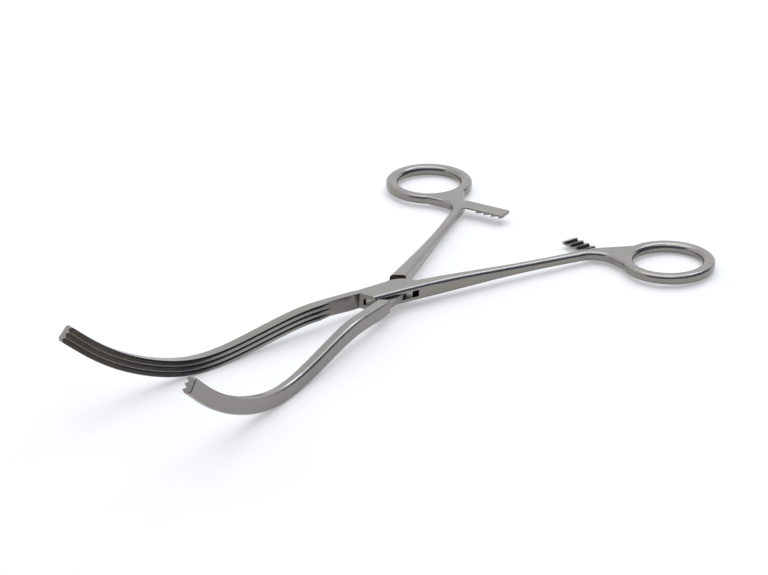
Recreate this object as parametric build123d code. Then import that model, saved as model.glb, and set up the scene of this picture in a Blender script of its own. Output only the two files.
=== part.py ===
"""Intestinal forceps with a box lock, double-curved jaws and a ratchet.

Lengths are in millimetres. Each half is drawn closed, with the pivot on the Z axis, the jaws towards +X
and the two halves meeting on the plane Y = 0. Both are drawn with the ring at +Y and the jaw at -Y, and
the male half is mirrored once it is whole. At the end both halves are opened and laid down as the
instrument rests on a table: on the bellies of the jaws and the backs of the rings.
"""

import math
import os

from build123d import *

# Pose at rest
OPEN_ANGLE = 21.4

# Jaws: the centre line of the tooth crests, from the lock to the tip, bowed away from the closing plane
JAW_ROOT_X = 11.5
JAW_SET_BACK = 1.75
TOOTH_DEPTH = 1.0
JAW_CURVE = [
    (JAW_ROOT_X, TOOTH_DEPTH - JAW_SET_BACK, 0.0),
    (30.6, -0.8, 0.4),
    (54.5, -0.8, -3.0),
    (78.5, -0.35, -4.6),
    (102.4, 0.0, 2.8),
    (126.3, 0.0, 19.2),
]
JAW_TIP_SLOPE = 0.86
JAW_STATIONS = 13
JAW_HEIGHT = 5.4
JAW_ROOT_THICKNESS = 3.25
JAW_TIP_THICKNESS = 3.0
JAW_SWELL = 0.25
JAW_OVERLAP = 3.0
JAW_PROUD = 0.1
JAW_TIP_RADIUS = 0.5

# Serrations along the gripping faces
TOOTH_PITCH = 1.8
TOOTH_LAND = 0.12
BOX_GROOVES = [TOOTH_PITCH * step for step in (-1, 0, 1)]
MALE_GROOVES = [TOOTH_PITCH * step for step in (-1.5, -0.5, 0.5, 1.5)]
TEETH_START_X = 23.5
TEETH_RAMP = 5.0

# Box lock
LOCK_HEIGHT = 5.1
CHEEK_FRONT = (9.1, 3.4)
CHEEK_REAR = (-11.6, 1.0)
CHEEK_REAR_BEND = (-9.2, -3.0)
CHEEK_REAR_SIDE_X = -4.0
LOCK_SIDE = (-6.5, 4.6)
SLOT_HEIGHT = 2.3
SLOT_HALF_LENGTH = 8.6
TONGUE_CLEARANCE = 0.06
TONGUE_SIDE = (2.6, 4.6)
SHOULDER_MEDIAL = (11.7, 0.3)
SHOULDER_LEAN = 30.0
SLOT_END_CLEARANCE = 0.3

# Pivot pin
PIN_RADIUS = 1.5
PIN_CLEARANCE = 0.03

# Shanks
SHANK_ROOT = (-6.5, 1.85)
SHANK_END = (-81.0, 14.4)
SHANK_BOW = 0.5
SHANK_ROOT_WIDTH = 5.5
SHANK_MIDDLE_WIDTH = 3.4
SHANK_END_WIDTH = 3.5
SHANK_TAPER_START_X = -12.5
SHANK_THIN_X = -46.0
SHANK_HEIGHT = 3.5
EDGE_RADIUS = 1.0

# Finger rings
RING_CENTRE = (-95.8, 34.5)
RING_LENGTH = 34.0
RING_WIDTH = 30.6
RING_BAR = 4.2
RING_HEIGHT = 3.6
RING_HOLE_EDGE_RADIUS = 1.4
WEB_FRONT_Y = 27.6
WEB_MEDIAL_ANGLE = 84.0
WEB_FILLET = 7.0

# Ratchet
RATCHET_X = -82.6
RATCHET_WIDTH = 6.4
RATCHET_HEIGHT = 3.0
BOX_RATCHET_REACH = 0.7
MALE_RATCHET_REACH = 2.9
RATCHET_LEAD = 1.6
RATCHET_TEETH = 4
RATCHET_PITCH = 2.9
RATCHET_TOOTH_DEPTH = 0.8
RATCHET_EDGE_RADIUS = 0.4
RATCHET_TIP_GAP = 0.06
RATCHET_ROOT_RADIUS = 2.0
RATCHET_CORNER_RADIUS = 0.8


def between(start, end, x):
    """Second coordinate of the straight line from start to end where the first one is x."""
    return start[1] + (end[1] - start[1]) * (x - start[0]) / (end[0] - start[0])


def prism(outline, bottom, top):
    """A plan outline made solid between two heights."""
    return Pos(0, 0, bottom) * extrude(outline, top - bottom, dir=(0, 0, 1))


def tall(outline):
    """A plan outline made solid through the whole height of the instrument."""
    return prism(outline, -LOCK_HEIGHT, LOCK_HEIGHT)


def side_line(side):
    """Upper (1) or lower (-1) line of the side view: level lock, then one sweep down to shank and ring."""
    start = (SHANK_TAPER_START_X, side * LOCK_HEIGHT / 2)
    thin = (SHANK_THIN_X, side * SHANK_HEIGHT / 2)
    rear = (RING_CENTRE[0] - RING_LENGTH / 2 - EDGE_RADIUS, side * RING_HEIGHT / 2)
    return [
        Line((JAW_ROOT_X, side * LOCK_HEIGHT / 2), start),
        Spline(start, thin, rear, tangents=[(-1, 0), (-1, 0)]),
    ]


def taper_band():
    """The side view of lock, shank and ring, as a slab wider than a whole half."""
    upper = side_line(1)
    lower = side_line(-1)
    front = Line(lower[0] @ 0, upper[0] @ 0)
    rear = Line(upper[1] @ 1, lower[1] @ 1)
    return extrude(Plane.XZ * make_face(upper + lower + [front, rear]), 2 * RING_WIDTH, both=True)


def lock_outline():
    """The lock in plan, from the jaw's root to the shank: both cheeks of the box have this outline."""
    outer_y = -(JAW_SET_BACK + JAW_ROOT_THICKNESS)
    inner_front = (JAW_ROOT_X, -JAW_SET_BACK)
    outer_front = (JAW_ROOT_X, outer_y)
    outer_rear = (CHEEK_REAR_SIDE_X, outer_y)
    shank_side = (CHEEK_REAR[0], between(SHANK_ROOT, SHANK_END, CHEEK_REAR[0]))
    return make_face(
        [
            Line(CHEEK_FRONT, inner_front),
            Line(inner_front, outer_front),
            Line(outer_front, outer_rear),
            ThreePointArc(outer_rear, CHEEK_REAR_BEND, CHEEK_REAR),
            Line(CHEEK_REAR, shank_side),
            Line(shank_side, LOCK_SIDE),
            Line(LOCK_SIDE, CHEEK_FRONT),
        ]
    )


def shank_edge(side):
    """One long edge of the shank in plan, bowed a little inwards: its root, its middle and its end."""
    root = (SHANK_ROOT[0], SHANK_ROOT[1] + side * SHANK_ROOT_WIDTH / 2)
    end = (SHANK_END[0], SHANK_END[1] + side * SHANK_END_WIDTH / 2)
    middle_y = (SHANK_ROOT[1] + SHANK_END[1]) / 2 - SHANK_BOW + side * SHANK_MIDDLE_WIDTH / 2
    return root, ((root[0] + end[0]) / 2, middle_y), end


def ring_outer_point(degrees):
    """A point of the ring's outer edge, by the ellipse's own angle."""
    angle = math.radians(degrees)
    x = RING_CENTRE[0] + RING_LENGTH / 2 * math.cos(angle)
    y = RING_CENTRE[1] + RING_WIDTH / 2 * math.sin(angle)
    return x, y


def web_front_point():
    """Where the flat web in front of the ring runs out on the ring's outer edge."""
    return ring_outer_point(-math.degrees(math.asin((RING_CENTRE[1] - WEB_FRONT_Y) / (RING_WIDTH / 2))))


def shank_outline():
    """The shank in plan, widening into the flat web that carries the ring."""
    medial_root, medial_middle, medial_end = shank_edge(-1)
    lateral_root, lateral_middle, lateral_end = shank_edge(1)
    web_medial = ring_outer_point(-WEB_MEDIAL_ANGLE)
    web_front = web_front_point()
    return make_face(
        [
            ThreePointArc(medial_root, medial_middle, medial_end),
            Line(medial_end, web_medial),
            Line(web_medial, RING_CENTRE),
            Line(RING_CENTRE, web_front),
            Line(web_front, lateral_end),
            ThreePointArc(lateral_end, lateral_middle, lateral_root),
            Line(lateral_root, medial_root),
        ]
    )


def upright_edge(solid, point):
    """The upright edge of a solid nearest to a point of the plan."""
    return solid.edges().filter_by(Axis.Z).sort_by_distance((point[0], point[1], 0))[0]


def rim_edges(solid):
    """Long upper and lower edges of all the walls that stand upright."""
    diagonal = math.sin(math.radians(45))
    walls = [face for face in solid.faces() if abs(face.normal_at().Z) < diagonal]
    return [edge for wall in walls for edge in wall.edges() if abs((edge % 0.5).Z) < diagonal]


def is_on_hole(edge):
    """Whether an edge runs round the finger hole."""
    middle = edge @ 0.5
    return math.dist((middle.X, middle.Y), RING_CENTRE) < (RING_LENGTH - RING_BAR) / 2


def is_rounded(edge):
    """Whether an edge of the outline is rounded: all but the lock's ends and the edge to the jaw."""
    middle = edge @ 0.5
    at_jaw = middle.X > CHEEK_FRONT[0]
    at_rear = CHEEK_REAR[0] <= middle.X < CHEEK_REAR_SIDE_X and middle.Y < SHANK_ROOT[1]
    return not (at_jaw or at_rear or is_on_hole(edge))


def handle():
    """Lock, shank, web and finger ring of one half as one rounded forging, without its jaw."""
    ring = Pos(*RING_CENTRE) * Ellipse(RING_LENGTH / 2, RING_WIDTH / 2)
    hole = Pos(*RING_CENTRE) * Ellipse(RING_LENGTH / 2 - RING_BAR, RING_WIDTH / 2 - RING_BAR)
    outline = lock_outline() + shank_outline() + ring - hole
    body = tall(outline) & taper_band()
    lateral_end = shank_edge(1)[2]
    body = fillet(upright_edge(body, lateral_end), WEB_FILLET)
    body = fillet([edge for edge in rim_edges(body) if is_on_hole(edge)], RING_HOLE_EDGE_RADIUS)
    for side in (1, -1):
        rim = [edge for edge in rim_edges(body) if is_rounded(edge) and side * (edge @ 0.5).Z > 0]
        body = fillet(rim, EDGE_RADIUS)
    return body


def jaw_curve():
    """Centre line of a jaw along the tooth crests."""
    return Spline(*JAW_CURVE, tangents=[(1, 0, 0), (1, 0, JAW_TIP_SLOPE)])


def jaw_planes():
    """Planes across the jaw, the first one inside the lock: first axis from the crests to the back."""
    curve = jaw_curve()
    stations = [index / (JAW_STATIONS - 1) for index in range(JAW_STATIONS)]
    planes = [Plane(origin=curve @ at, x_dir=(0, -1, 0), z_dir=curve % at) for at in stations]
    return [planes[0].offset(-JAW_OVERLAP)] + planes


def jaw_section(thickness, height):
    """Section of the jaw: flat gripping face, rounded back."""
    section = Pos(thickness / 2, 0) * Rectangle(thickness, height)
    return fillet(section.vertices().group_by(Axis.X)[-1], EDGE_RADIUS)


def jaw_sections():
    """Sections of the jaw, growing out of the lock, swelling to full height and thinning to the tip."""
    inner = TOOTH_DEPTH + JAW_ROOT_THICKNESS
    sections = [jaw_section(inner - JAW_PROUD, LOCK_HEIGHT - 2 * JAW_PROUD)]
    root_height = LOCK_HEIGHT + 2 * JAW_PROUD
    for index in range(JAW_STATIONS):
        share = index / (JAW_STATIONS - 1)
        thickness = inner + JAW_PROUD + (JAW_TIP_THICKNESS - inner - JAW_PROUD) * share
        height = root_height + (JAW_HEIGHT - root_height) * min(1.0, share / JAW_SWELL)
        sections.append(jaw_section(thickness, height))
    return sections


def jaw():
    """One jaw with a smooth face, lofted along its double curve, rounded at the tip but for the crests."""
    body = loft([plane * section for plane, section in zip(jaw_planes(), jaw_sections())])
    tip = body.faces().sort_by(Axis.X)[-1]
    return fillet(tip.edges().sort_by(Axis.Y)[:-1], JAW_TIP_RADIUS)


def groove(offset):
    """Cutter for one V groove, offset across the face from the jaw's centre line."""
    half_width = (TOOTH_PITCH - TOOTH_LAND) / 2
    section = Polygon(
        (TOOTH_DEPTH, offset),
        (-TOOTH_DEPTH, offset - 2 * half_width),
        (-TOOTH_DEPTH, offset + 2 * half_width),
        align=None,
    )
    planes = jaw_planes()
    return loft([plane * section for plane in planes + [planes[-1].offset(JAW_HEIGHT)]])


def smooth_face():
    """What is cut away in front of the smooth stretch of face next to the lock, with its run-out."""
    root = JAW_ROOT_X - 2 * JAW_OVERLAP
    start = TEETH_START_X
    end = TEETH_START_X + TEETH_RAMP
    profile = Polygon(
        (root, JAW_SET_BACK),
        (root, -JAW_SET_BACK),
        (start, -JAW_SET_BACK),
        (end, TOOTH_DEPTH - JAW_SET_BACK),
        (end, JAW_SET_BACK),
        align=None,
    )
    return tall(profile)


def serrated_jaw(offsets):
    """One finished jaw: its grooves, at these offsets, run out into the smooth face beside the lock."""
    body = jaw() - smooth_face()
    for offset in offsets:
        body = body - groove(offset)
    return body


def ratchet_outline(reach):
    """The ratchet bar in plan, from inside the shank to its free end, with a fillet at its front root."""
    front = RATCHET_X + RATCHET_WIDTH / 2
    rear = RATCHET_X - RATCHET_WIDTH / 2
    shank_y = between(SHANK_ROOT, SHANK_END, RATCHET_X)
    medial_y = shank_y - SHANK_END_WIDTH / 2
    bar = Polygon(
        (rear, shank_y), (rear, -reach), (front, -reach), (front, shank_y), align=None
    )
    bar = fillet(bar.vertices().group_by(Axis.Y)[0], RATCHET_CORNER_RADIUS)
    gusset = Polygon(
        (front, shank_y),
        (front, medial_y - RATCHET_ROOT_RADIUS),
        (front + RATCHET_ROOT_RADIUS, medial_y),
        (front + RATCHET_ROOT_RADIUS, shank_y),
        align=None,
    )
    hollow = Pos(front + RATCHET_ROOT_RADIUS, medial_y - RATCHET_ROOT_RADIUS) * Circle(RATCHET_ROOT_RADIUS)
    return bar + (gusset - hollow)


def ratchet_profile(reach):
    """The bar seen along the shank, teeth up: each tooth rises from the free end and drops at its back."""
    tips = -RATCHET_TIP_GAP
    roots = tips - RATCHET_TOOTH_DEPTH
    first = RATCHET_LEAD - reach
    points = [(SHANK_END[1], -LOCK_HEIGHT), (first - RATCHET_PITCH, -LOCK_HEIGHT)]
    for tooth in range(RATCHET_TEETH):
        back = first + tooth * RATCHET_PITCH
        points.append((back - RATCHET_PITCH, roots))
        points.append((back, tips))
    points.append((back, roots))
    points.append((SHANK_END[1], roots))
    return Polygon(*points, align=None)


def ratchet(reach, upwards):
    """The ratchet bar in the lower half of the height with its teeth up, or in the upper with them down."""
    bar = prism(ratchet_outline(reach), -RATCHET_HEIGHT / 2, RATCHET_HEIGHT / 2)
    outline = [edge for edge in bar.faces().sort_by(Axis.Z)[0].edges() if (edge @ 0.5).Y < SHANK_ROOT[1]]
    bar = fillet(outline, RATCHET_EDGE_RADIUS)
    bar = bar & extrude(Plane.YZ * ratchet_profile(reach), -2 * RATCHET_X, both=True)
    return bar if upwards else mirror(bar, about=Plane.XY)


def tongue_corners():
    """The male half's waist in plan: medial front, lateral front, side, and the same turned half round."""
    lean = math.tan(math.radians(SHOULDER_LEAN))
    medial_x, medial_y = SHOULDER_MEDIAL
    side_x, side_y = TONGUE_SIDE
    front_medial = (medial_x - (JAW_SET_BACK - medial_y) * lean, -JAW_SET_BACK)
    front_lateral = (medial_x - (side_y - medial_y) * lean, -side_y)
    rear_medial = (-medial_x, medial_y)
    rear_lateral = (-medial_x + (side_y - medial_y) * lean, side_y)
    return [front_medial, front_lateral, (-side_x, -side_y), rear_medial, rear_lateral, (side_x, side_y)]


def shoulder_gap():
    """The plan between the male half's two shoulders, wider than the lock."""
    lean = math.tan(math.radians(SHOULDER_LEAN))
    medial_x, medial_y = SHOULDER_MEDIAL
    wide = 2 * TONGUE_SIDE[1]
    near = medial_x - (wide - medial_y) * lean
    far = medial_x + (wide + medial_y) * lean
    return Polygon((near, -wide), (far, wide), (-near, wide), (-far, -wide), align=None)


def slot_outline():
    """The slot through the box in plan, open on both sides, drawn for the mirrored male half."""
    _, _, side, rear_medial, _, _ = [(x, -y) for x, y in tongue_corners()]
    end = -SLOT_HALF_LENGTH
    beyond = 2 * rear_medial[0]
    wide = 2 * TONGUE_SIDE[1]
    end_y = between(side, rear_medial, end) + SLOT_END_CLEARANCE
    beyond_y = between(side, rear_medial, beyond) + SLOT_END_CLEARANCE
    return Polygon(
        (end, wide),
        (end, end_y),
        (beyond, beyond_y),
        (beyond, -wide),
        (-end, -wide),
        (-end, -end_y),
        (-beyond, -beyond_y),
        (-beyond, wide),
        align=None,
    )


def box_half():
    """The female half: two cheeks with the slot between them, the pin's press hole and the lower bar."""
    slot = prism(slot_outline(), -SLOT_HEIGHT / 2, SLOT_HEIGHT / 2)
    body = handle() - slot + ratchet(BOX_RATCHET_REACH, upwards=True)
    return body + serrated_jaw(BOX_GROOVES) - tall(Circle(PIN_RADIUS))


def male_half():
    """The male half: a thin waist between two shoulders, the pin's running hole and the upper bar."""
    half_tongue = SLOT_HEIGHT / 2 - TONGUE_CLEARANCE
    tongue = prism(Polygon(*tongue_corners(), align=None), -half_tongue, half_tongue)
    body = handle() + serrated_jaw(MALE_GROOVES) - tall(shoulder_gap()) + tongue
    body = body + ratchet(MALE_RATCHET_REACH, upwards=False) - tall(Circle(PIN_RADIUS + PIN_CLEARANCE))
    return mirror(body, about=Plane.XZ)


def pivot_pin():
    """The pin, ground flush with both cheeks."""
    return tall(Circle(PIN_RADIUS)) & taper_band()


def rest_tilt():
    """Angle that brings the belly of the jaw and the back of the ring onto one level surface."""
    curve = jaw_curve()
    belly = min((curve @ (step / 100) for step in range(101)), key=lambda point: point.Z)
    ring_rear = RING_CENTRE[0] - (RING_LENGTH - RING_BAR) / 2
    drop = JAW_HEIGHT / 2 - belly.Z - RING_HEIGHT / 2
    return math.degrees(math.atan2(drop, belly.X - ring_rear))


def main():
    """Open the halves, lay the instrument down and write one file for each piece."""
    half_angle = OPEN_ANGLE / 2
    laid = Rot(0, -rest_tilt(), 0)
    pieces = {
        "box_half": laid * Rot(0, 0, -half_angle) * box_half(),
        "male_half": laid * Rot(0, 0, half_angle) * male_half(),
        "pivot_pin": laid * Rot(0, 0, -half_angle) * pivot_pin(),
    }
    box = Compound(list(pieces.values())).bounding_box()
    settle = Pos(-box.center().X, -box.center().Y, -box.min.Z)
    os.makedirs("parts", exist_ok=True)
    for name, piece in pieces.items():
        export_step(settle * piece, f"parts/{name}.step")
    pivot = (settle * laid).position
    axis = (laid * Plane.XY).z_dir
    print("pivot", [round(value, 4) for value in tuple(pivot)])
    print("hinge axis", [round(value, 6) for value in tuple(axis)])
    print("size", [round(value, 3) for value in tuple(box.size)])


if __name__ == "__main__":
    main()
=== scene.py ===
"""Looks of the intestinal forceps: forged stainless steel in a plain pale studio.

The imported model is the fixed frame. Its three nodes keep their shape and place, and each gets the finish
of the real piece. Lengths are in metres unless a name says millimetres.
"""

import logging
import math
from dataclasses import dataclass
from enum import Enum

import bpy
from mathutils import Matrix, Vector

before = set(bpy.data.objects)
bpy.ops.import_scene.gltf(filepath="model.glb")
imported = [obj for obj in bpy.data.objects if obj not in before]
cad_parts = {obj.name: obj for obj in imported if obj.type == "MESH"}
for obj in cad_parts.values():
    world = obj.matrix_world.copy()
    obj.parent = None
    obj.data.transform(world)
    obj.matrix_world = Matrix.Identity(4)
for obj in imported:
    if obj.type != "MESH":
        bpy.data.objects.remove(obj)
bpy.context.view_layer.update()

LOG = logging.getLogger("forceps")
MM = 0.001

# Curve between sRGB and linear light: a straight foot, then a power.
SRGB_FOOT_END = 0.04045
SRGB_FOOT_SLOPE = 12.92
SRGB_OFFSET = 0.055
SRGB_POWER = 2.4

# Sockets of a Mix node for colours, which have no names of their own.
MIX_SHARE = 0
MIX_FROM = 6
MIX_TO = 7
MIX_RESULT = 2


class GrindDirection(Enum):
    """Way in which a half was ground: the angle of its marks from the instrument's axis, in degrees."""

    BOX_SIDE = -10.7
    MALE_SIDE = 10.7


class Surround(Enum):
    """Parts of the studio that satin steel mirrors, as a direction towards the middle of each."""

    DARK_SIDE = (0.23, 0.87, 0.42)
    CEILING = (0.0, 0.0, 1.0)


def linear(hex_colour: str) -> tuple[float, float, float, float]:
    """Turn an sRGB colour to linear light.

    Args:
        hex_colour: Six hexadecimal digits after a hash sign.

    Returns:
        Red, green, blue and alpha from 0 to 1.
    """
    channels = [int(hex_colour[start : start + 2], 16) / 255 for start in (1, 3, 5)]
    red, green, blue = [
        value / SRGB_FOOT_SLOPE
        if value <= SRGB_FOOT_END
        else ((value + SRGB_OFFSET) / (1.0 + SRGB_OFFSET)) ** SRGB_POWER
        for value in channels
    ]
    return red, green, blue, 1.0


def add_node(
    tree: bpy.types.NodeTree,
    kind: str,
    settings: dict[str, object] | None = None,
    links: dict[str | int, object] | None = None,
) -> bpy.types.Node:
    """Add one node to a tree, with its settings, its values and what feeds it.

    Args:
        tree: Node tree that gets the node.
        kind: Blender's name for the kind of node.
        settings: Attributes of the node by name.
        links: By input name or number, either an output socket to link or a plain value to set.

    Returns:
        The new node.
    """
    node = tree.nodes.new(kind)
    for name, value in (settings or {}).items():
        setattr(node, name, value)
    for name, source in (links or {}).items():
        if isinstance(source, bpy.types.NodeSocket):
            tree.links.new(source, node.inputs[name])
        else:
            node.inputs[name].default_value = source
    return node


@dataclass(frozen=True)
class SatinStainlessSteel:
    """Forged martensitic stainless steel, ground with fine belts and then brushed to a satin.

    The eye sees a soft mirror: broad clean reflections, drawn out a little along the grinding marks, with
    slightly duller clouds where fingers and cloths have wiped it.
    """

    name: str
    grind: GrindDirection
    colour: str = "#8d8983"
    worn_colour: str = "#827e79"
    roughness: float = 0.22
    roughness_spread: float = 0.04
    mark_length_mm: float = 22.0
    # Real belt marks are about 0.05 mm wide. These are as coarse as a pixel of the render needs.
    mark_width_mm: float = 0.3
    mark_depth_mm: float = 0.0015
    mark_detail: float = 3.0
    mark_unevenness: float = 0.6
    # How much the marks count beside the clouds in the roughness, and the range of the two together.
    mark_share: float = 0.5
    smoothest: float = 0.4
    roughest: float = 1.1
    cloud_mm: float = 14.0
    cloud_detail: float = 4.0
    cloud_unevenness: float = 0.55

    def build(self) -> bpy.types.Material:
        """Build the material.

        Returns:
            A material with procedural colour, roughness and bump.
        """
        material = bpy.data.materials.new(self.name)
        material.use_nodes = True
        tree = material.node_tree
        tree.nodes.clear()
        place = add_node(tree, "ShaderNodeTexCoord")
        turn = add_node(
            tree,
            "ShaderNodeMapping",
            {"vector_type": "TEXTURE"},
            {"Vector": place.outputs["Object"], "Rotation": (0.0, 0.0, math.radians(self.grind.value))},
        )
        stretched = add_node(
            tree,
            "ShaderNodeVectorMath",
            {"operation": "MULTIPLY"},
            {0: turn.outputs["Vector"], 1: (self.mark_width_mm / self.mark_length_mm, 1.0, 1.0)},
        )
        marks = add_node(
            tree,
            "ShaderNodeTexNoise",
            links={
                "Vector": stretched.outputs["Vector"],
                "Scale": 1.0 / (self.mark_width_mm * MM),
                "Detail": self.mark_detail,
                "Roughness": self.mark_unevenness,
            },
        )
        clouds = add_node(
            tree,
            "ShaderNodeTexNoise",
            links={
                "Vector": turn.outputs["Vector"],
                "Scale": 1.0 / (self.cloud_mm * MM),
                "Detail": self.cloud_detail,
                "Roughness": self.cloud_unevenness,
            },
        )
        colour = add_node(
            tree,
            "ShaderNodeMix",
            {"data_type": "RGBA"},
            {
                MIX_SHARE: clouds.outputs["Fac"],
                MIX_FROM: linear(self.colour),
                MIX_TO: linear(self.worn_colour),
            },
        )
        mixed = add_node(
            tree,
            "ShaderNodeMath",
            {"operation": "MULTIPLY_ADD"},
            {0: marks.outputs["Fac"], 1: self.mark_share, 2: clouds.outputs["Fac"]},
        )
        roughness = add_node(
            tree,
            "ShaderNodeMapRange",
            links={
                "Value": mixed.outputs["Value"],
                "From Min": self.smoothest,
                "From Max": self.roughest,
                "To Min": self.roughness - self.roughness_spread,
                "To Max": self.roughness + self.roughness_spread,
            },
        )
        bump = add_node(
            tree,
            "ShaderNodeBump",
            links={
                "Height": marks.outputs["Fac"],
                "Strength": 1.0,
                "Distance": self.mark_depth_mm * MM,
            },
        )
        shader = add_node(
            tree,
            "ShaderNodeBsdfPrincipled",
            links={
                "Base Color": colour.outputs[MIX_RESULT],
                "Roughness": roughness.outputs["Result"],
                "Normal": bump.outputs["Normal"],
                "Metallic": 1.0,
            },
        )
        add_node(tree, "ShaderNodeOutputMaterial", links={"Surface": shader.outputs["BSDF"]})
        return material


@dataclass
class ForcepsPiece:
    """One forged or turned piece of the instrument, which keeps the shape and place of its node."""

    node: str
    finish: SatinStainlessSteel

    def dress(self) -> bpy.types.Object:
        """Give the node its finish.

        Returns:
            The dressed object.
        """
        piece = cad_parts[self.node]
        material = self.finish.build()
        piece.data.materials.clear()
        piece.data.materials.append(material)
        LOG.info("%s dressed as %s, %d faces", self.node, material.name, len(piece.data.polygons))
        return piece


@dataclass(frozen=True)
class Lamp:
    """One rectangular lamp that shines at the middle of the floor."""

    name: str
    place: tuple[float, float, float]
    size: tuple[float, float]
    watts: float
    colour: str = "#ffffff"

    def hang(self) -> None:
        """Hang the lamp in the scene."""
        light = bpy.data.lights.new(self.name, "AREA")
        light.shape = "RECTANGLE"
        light.size, light.size_y = self.size
        light.energy = self.watts
        light.color = linear(self.colour)[:3]
        lamp = bpy.data.objects.new(self.name, light)
        lamp.location = self.place
        lamp.rotation_euler = Vector(self.place).to_track_quat("Z", "Y").to_euler()
        bpy.context.scene.collection.objects.link(lamp)


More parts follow.
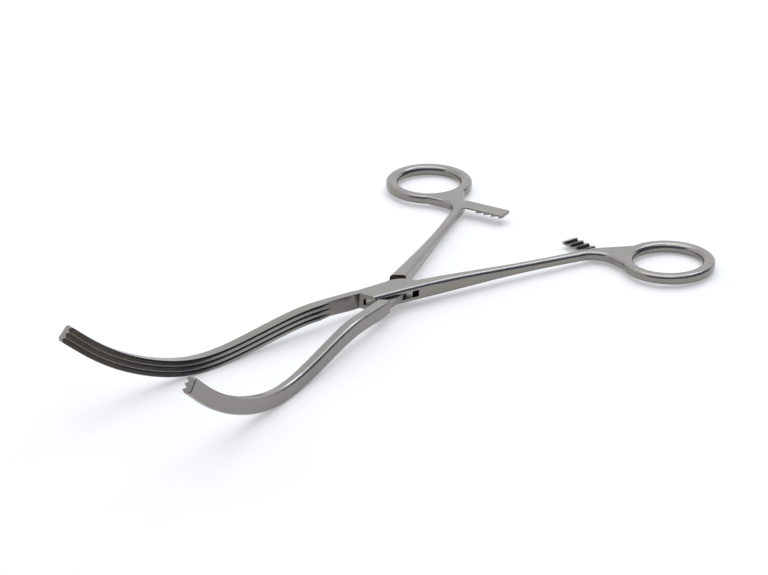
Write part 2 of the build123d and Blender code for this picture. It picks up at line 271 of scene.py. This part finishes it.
@dataclass
class Studio:
    """Plain pale studio: a floor sheet, a broad lamp, a strip light and the surround that steel mirrors."""

    floor_size: float = 6.0
    floor_colour: str = "#ececeb"
    # Share of plain white that brings the floor up to the photograph's background, shadows kept.
    floor_lift: float = 0.35
    lift_colour: str = "#ffffff"
    softbox: Lamp = Lamp("softbox", (-0.15, -0.1, 0.9), (0.7, 0.7), 2.4)
    strip: Lamp = Lamp("strip_light", (-0.65, -0.09, 0.63), (0.6, 0.2), 1.5, "#dde8ff")
    wall_colour: str = "#eceff3"
    ceiling_colour: str = "#f4f7ff"
    dark_colour: str = "#5d6378"
    # Cosines of the angles from the middle of each part at which it starts and is whole.
    dark_edges: tuple[float, float] = (0.05, 0.3)
    ceiling_edges: tuple[float, float] = (0.68, 0.82)
    surround_level: float = 1.4

    def build(self) -> None:
        """Build the floor, the lamps and the world."""
        self.lay_floor()
        self.softbox.hang()
        self.strip.hang()
        self.paint_surround()

    def lay_floor(self) -> None:
        """Lay the floor just under the instrument."""
        half = self.floor_size / 2
        corners = [(-half, -half, 0.0), (half, -half, 0.0), (half, half, 0.0), (-half, half, 0.0)]
        sheet = bpy.data.meshes.new("floor_sheet")
        sheet.from_pydata(corners, [], [(0, 1, 2, 3)])
        floor = bpy.data.objects.new("floor_sheet", sheet)
        bpy.context.scene.collection.objects.link(floor)
        material = bpy.data.materials.new("matt_paper")
        material.use_nodes = True
        tree = material.node_tree
        tree.nodes.clear()
        paper = add_node(tree, "ShaderNodeBsdfDiffuse", links={"Color": linear(self.floor_colour)})
        lift = add_node(
            tree, "ShaderNodeEmission", links={"Color": linear(self.lift_colour), "Strength": 1.0}
        )
        path = add_node(tree, "ShaderNodeLightPath")
        seen = add_node(
            tree,
            "ShaderNodeMath",
            {"operation": "ADD"},
            {0: path.outputs["Is Camera Ray"], 1: path.outputs["Is Glossy Ray"]},
        )
        seen_through = add_node(
            tree,
            "ShaderNodeMath",
            {"operation": "ADD", "use_clamp": True},
            {0: seen.outputs["Value"], 1: path.outputs["Is Transmission Ray"]},
        )
        share = add_node(
            tree,
            "ShaderNodeMath",
            {"operation": "MULTIPLY"},
            {0: seen_through.outputs["Value"], 1: self.floor_lift},
        )
        both = add_node(
            tree,
            "ShaderNodeMixShader",
            links={0: share.outputs["Value"], 1: paper.outputs["BSDF"], 2: lift.outputs["Emission"]},
        )
        add_node(tree, "ShaderNodeOutputMaterial", links={"Surface": both.outputs["Shader"]})
        sheet.materials.append(material)

    def paint_surround(self) -> None:
        """Paint the world: pale walls, one dark side and a pale ceiling over both."""
        world = bpy.data.worlds.new("studio_surround")
        bpy.context.scene.world = world
        world.use_nodes = True
        tree = world.node_tree
        tree.nodes.clear()
        dark_share = self.share_towards(tree, Surround.DARK_SIDE, self.dark_edges)
        ceiling_share = self.share_towards(tree, Surround.CEILING, self.ceiling_edges)
        walls = add_node(
            tree,
            "ShaderNodeMix",
            {"data_type": "RGBA"},
            {
                MIX_SHARE: dark_share,
                MIX_FROM: linear(self.wall_colour),
                MIX_TO: linear(self.dark_colour),
            },
        )
        room = add_node(
            tree,
            "ShaderNodeMix",
            {"data_type": "RGBA"},
            {
                MIX_SHARE: ceiling_share,
                MIX_FROM: walls.outputs[MIX_RESULT],
                MIX_TO: linear(self.ceiling_colour),
            },
        )
        background = add_node(
            tree,
            "ShaderNodeBackground",
            links={"Color": room.outputs[MIX_RESULT], "Strength": self.surround_level},
        )
        add_node(tree, "ShaderNodeOutputWorld", links={"Surface": background.outputs["Background"]})

    def share_towards(
        self, tree: bpy.types.NodeTree, part: Surround, edges: tuple[float, float]
    ) -> bpy.types.NodeSocket:
        """Make the soft-edged share of the world that lies round one direction.

        Args:
            tree: Node tree of the world.
            part: Part of the surround.
            edges: Cosines of the angles from the part's middle at which it starts and is whole.

        Returns:
            The share, from 0 to 1.
        """
        place = add_node(tree, "ShaderNodeTexCoord")
        cosine = add_node(
            tree,
            "ShaderNodeVectorMath",
            {"operation": "DOT_PRODUCT"},
            {0: place.outputs["Generated"], 1: Vector(part.value).normalized()},
        )
        share = add_node(
            tree,
            "ShaderNodeMapRange",
            {"interpolation_type": "SMOOTHSTEP"},
            {"Value": cosine.outputs["Value"], "From Min": edges[0], "From Max": edges[1]},
        )
        return share.outputs["Result"]


@dataclass
class PhotographCamera:
    """Camera at the photograph's viewing angle, for a picture of 768 by 575 pixels."""

    place: tuple[float, float, float] = (0.57726, 0.45902, 0.35842)
    right: tuple[float, float, float] = (-0.6262, 0.7793, 0.0233)
    forward: tuple[float, float, float] = (-0.7116, -0.5590, -0.4256)
    lens_mm: float = 117.94
    sensor_mm: float = 36.0
    nearest: float = 0.01

    def build(self) -> bpy.types.Object:
        """Build the camera and make it the scene's own.

        Returns:
            The camera object.
        """
        data = bpy.data.cameras.new("photograph_camera")
        data.lens = self.lens_mm
        data.sensor_width = self.sensor_mm
        data.sensor_fit = "HORIZONTAL"
        data.clip_start = self.nearest
        camera = bpy.data.objects.new("photograph_camera", data)
        back = -Vector(self.forward).normalized()
        up = back.cross(Vector(self.right)).normalized()
        right = up.cross(back)
        turn = Matrix((right, up, back)).transposed()
        camera.matrix_world = Matrix.Translation(self.place) @ turn.to_4x4()
        bpy.context.scene.collection.objects.link(camera)
        bpy.context.scene.camera = camera
        return camera


def main() -> None:
    """Dress every piece, then build the studio and the camera."""
    logging.basicConfig(level=logging.INFO, format="%(name)s: %(message)s")
    bpy.context.scene.view_settings.view_transform = "Standard"
    PhotographCamera().build()
    pieces = [
        ForcepsPiece("box_half", SatinStainlessSteel("satin_steel_box_side", GrindDirection.BOX_SIDE)),
        ForcepsPiece("male_half", SatinStainlessSteel("satin_steel_male_side", GrindDirection.MALE_SIDE)),
        ForcepsPiece("pivot_pin", SatinStainlessSteel("satin_steel_pin", GrindDirection.BOX_SIDE)),
    ]
    for piece in pieces:
        piece.dress()
    Studio().build()


if __name__ == "__main__":
    main()
